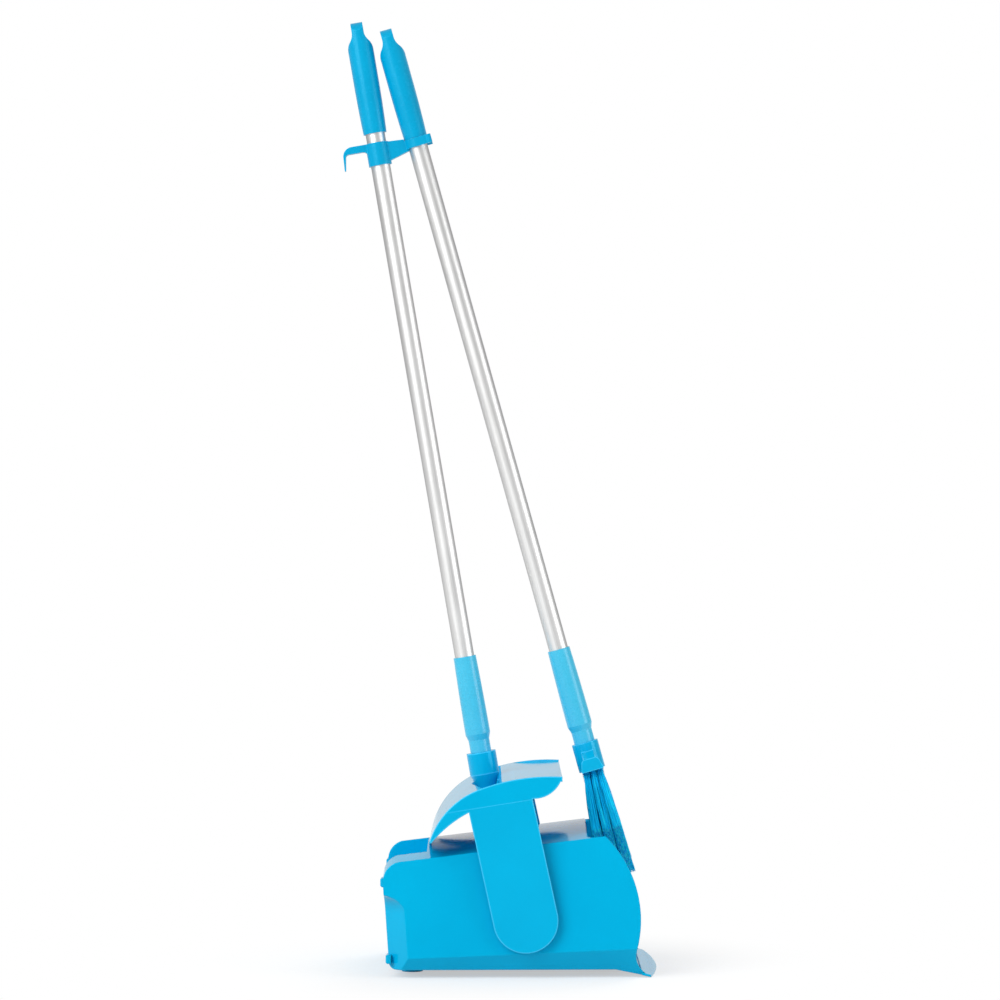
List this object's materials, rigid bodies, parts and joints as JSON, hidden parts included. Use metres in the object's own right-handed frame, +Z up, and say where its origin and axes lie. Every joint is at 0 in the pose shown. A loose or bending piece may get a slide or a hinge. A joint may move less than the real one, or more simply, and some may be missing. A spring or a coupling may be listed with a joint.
{
  "type": "dust pan and brush set",
  "caption": "Upright dustpan hung on a yoke under a long handle, with a curved cover that closes its mouth, and an angled long-handled broom clipped beside it.",
  "frame": {"origin": "on the floor, under the middle of the set's bounding box", "axes": "+Z up, +X from the pan's rear wall towards its mouth, +Y to the left of someone facing the way the mouth faces"},
  "size_m": [0.356, 0.3044, 1.074],
  "materials": {
    "blue_plastic": "glossy moulded polypropylene",
    "sleeve_plastic": "satin moulded plastic, a little paler than the pan",
    "grip_plastic": "smooth moulded plastic",
    "anodised_tube": "satin anodised",
    "bristle": "cut synthetic filament",
    "staple_wire": "drawn wire"
  },
  "bodies": {
    "pan": {"pan_body": "blue_plastic"},
    "handle": {"pivot_pin_left": "blue_plastic", "pivot_pin_right": "blue_plastic", "yoke_cover": "blue_plastic", "pan_sleeve": "sleeve_plastic", "pan_tube": "anodised_tube", "pan_grip": "grip_plastic", "handle_clip": "grip_plastic"},
    "broom": {"broom_block": "blue_plastic", "broom_sleeve": "sleeve_plastic", "broom_tube": "anodised_tube", "broom_grip": "grip_plastic", "bristles_rear": "bristle", "bristles_middle": "bristle", "bristles_front": "bristle", "staples_rear": "staple_wire", "staples_middle": "staple_wire", "staples_front": "staple_wire"}
  },
  "joints": [
    {"name": "pan_tilt", "type": "hinge", "parent": "pan", "child": "handle", "pos_m": [0.029, 0, 0.0645], "axis": [0, 1, 0], "range_deg": [0, 35]},
    {"name": "broom_pull_out", "type": "slide", "parent": "handle", "child": "broom", "axis": [0.9631, 0, 0.2693], "range_m": [0, 0.3]}
  ]
}
